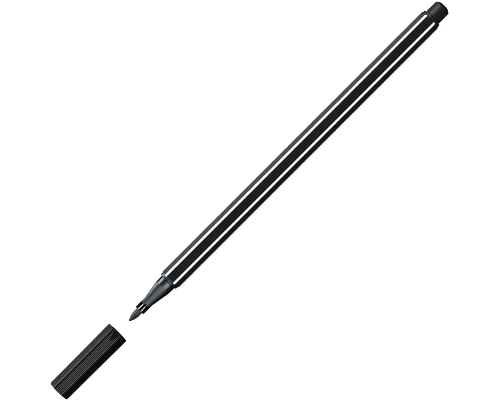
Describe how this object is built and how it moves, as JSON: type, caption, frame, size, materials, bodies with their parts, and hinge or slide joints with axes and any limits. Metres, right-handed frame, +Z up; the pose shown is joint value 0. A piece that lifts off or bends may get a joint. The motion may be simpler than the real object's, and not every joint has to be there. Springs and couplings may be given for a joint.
{
  "type": "felt-tip pen",
  "caption": "Felt-tip pen with a hexagonal barrel, white stripes along its edges and a hexagonal pull-off cap lying in line in front of the nib.",
  "frame": {"origin": "under the middle of the whole length, from the cap's closed end to the rear plug's end, at the height of the surface that the pen lies on", "axes": "+X along the pen from the cap and the nib to the rear end, +Z up and square to one flat of the hexagon, so two edges point to +Y and -Y"},
  "size_m": [0.192, 0.0086, 0.0076],
  "materials": {
    "barrel_black": "satin extruded black plastic",
    "stripe_white": "satin white plastic, extruded into the barrel's edges",
    "moulded_black": "glossy moulded black plastic",
    "nib_fibre": "dry bonded fibre, stained dark grey",
    "reservoir_fibre": "fibre soaked with black ink",
    "film": "thin glossy film",
    "cap_black": "satin moulded black plastic with fine ribs on every other face",
    "seal_black": "smooth moulded black plastic"
  },
  "bodies": {
    "pen": {"barrel": "barrel_black", "edge_stripe_1": "stripe_white", "edge_stripe_2": "stripe_white", "edge_stripe_3": "stripe_white", "edge_stripe_4": "stripe_white", "edge_stripe_5": "stripe_white", "edge_stripe_6": "stripe_white", "nib_holder": "moulded_black", "nib": "nib_fibre", "reservoir_core": "reservoir_fibre", "reservoir_wrap": "film", "rear_plug": "moulded_black"},
    "cap": {"cap_shell": "cap_black", "cap_inner_seal": "seal_black"}
  },
  "joints": [
    {"name": "cap_slide", "type": "slide", "parent": "pen", "child": "cap", "axis": [1, 0, 0], "range_m": [0, 0.0249]}
  ]
}
